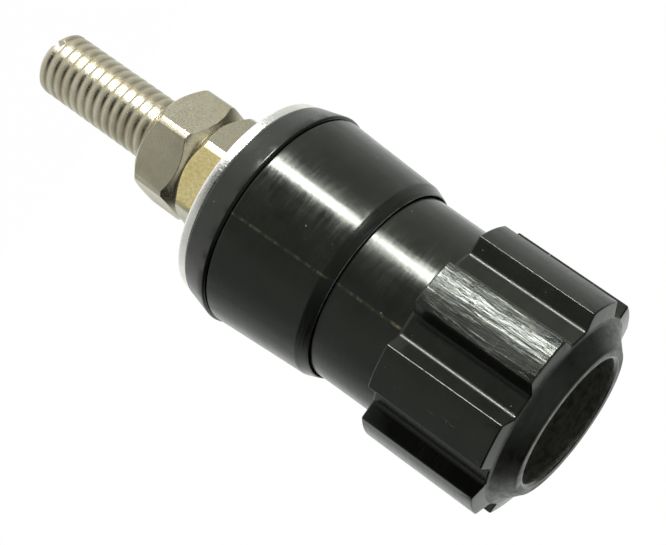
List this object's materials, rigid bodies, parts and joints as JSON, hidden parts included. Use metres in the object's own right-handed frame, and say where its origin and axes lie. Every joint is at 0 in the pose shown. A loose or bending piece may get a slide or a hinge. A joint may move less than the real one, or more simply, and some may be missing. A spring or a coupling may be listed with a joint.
{
  "type": "binding post",
  "caption": "Insulated panel binding post with a ribbed screw-down knob, an open front mouth over a plug socket, and a threaded rear stud with nuts and washer.",
  "frame": {"origin": "centre of the collar's seat on the panel, on the post's axis", "axes": "+Z out of the panel along the post towards the knob's mouth, -Z along the rear stud, +X towards the flat of the panel spigot"},
  "size_m": [0.0204, 0.0204, 0.0575],
  "materials": {
    "nickel_plate": "nickel plated, slightly dull",
    "bright_nickel": "nickel plated, bright",
    "bare_brass": "turned",
    "black_plastic": "moulded, glossy with fine scuffs"
  },
  "bodies": {
    "post": {"terminal_post": "nickel_plate", "front_collar": "black_plastic"},
    "rear_stack": {"rear_bush": "black_plastic", "flat_washer": "bright_nickel"},
    "clamp_nut": {"inner_nut": "nickel_plate"},
    "terminal_nut": {"outer_nut": "nickel_plate"},
    "pressure": {"pressure_washer": "bright_nickel"},
    "cap": {"knob_insert": "bare_brass", "knob": "black_plastic"}
  },
  "joints": [
    {"name": "pressure_travel", "type": "slide", "parent": "post", "child": "pressure", "axis": [0, 0, 1], "range_m": [0, 0.005]},
    {"name": "knob_turn", "type": "hinge", "parent": "pressure", "child": "cap", "pos_m": [0, 0, 0], "axis": [0, 0, 1], "range_deg": [0, 1800]},
    {"name": "stack_travel", "type": "slide", "parent": "post", "child": "rear_stack", "axis": [0, 0, -1], "range_m": [0, 0.006]},
    {"name": "inner_nut_turn", "type": "hinge", "parent": "rear_stack", "child": "clamp_nut", "pos_m": [0, 0, 0], "axis": [0, 0, -1], "range_deg": [0, 2160]},
    {"name": "outer_nut_turn", "type": "hinge", "parent": "rear_stack", "child": "terminal_nut", "pos_m": [0, 0, 0], "axis": [0, 0, -1], "range_deg": [0, 2160]}
  ],
  "couplings": [
    {"joint": "knob_turn", "follows": "pressure_travel", "rad_per_m": 6283.2},
    {"joint": "inner_nut_turn", "follows": "stack_travel", "rad_per_m": 6283.2},
    {"joint": "outer_nut_turn", "follows": "stack_travel", "rad_per_m": 6283.2}
  ]
}
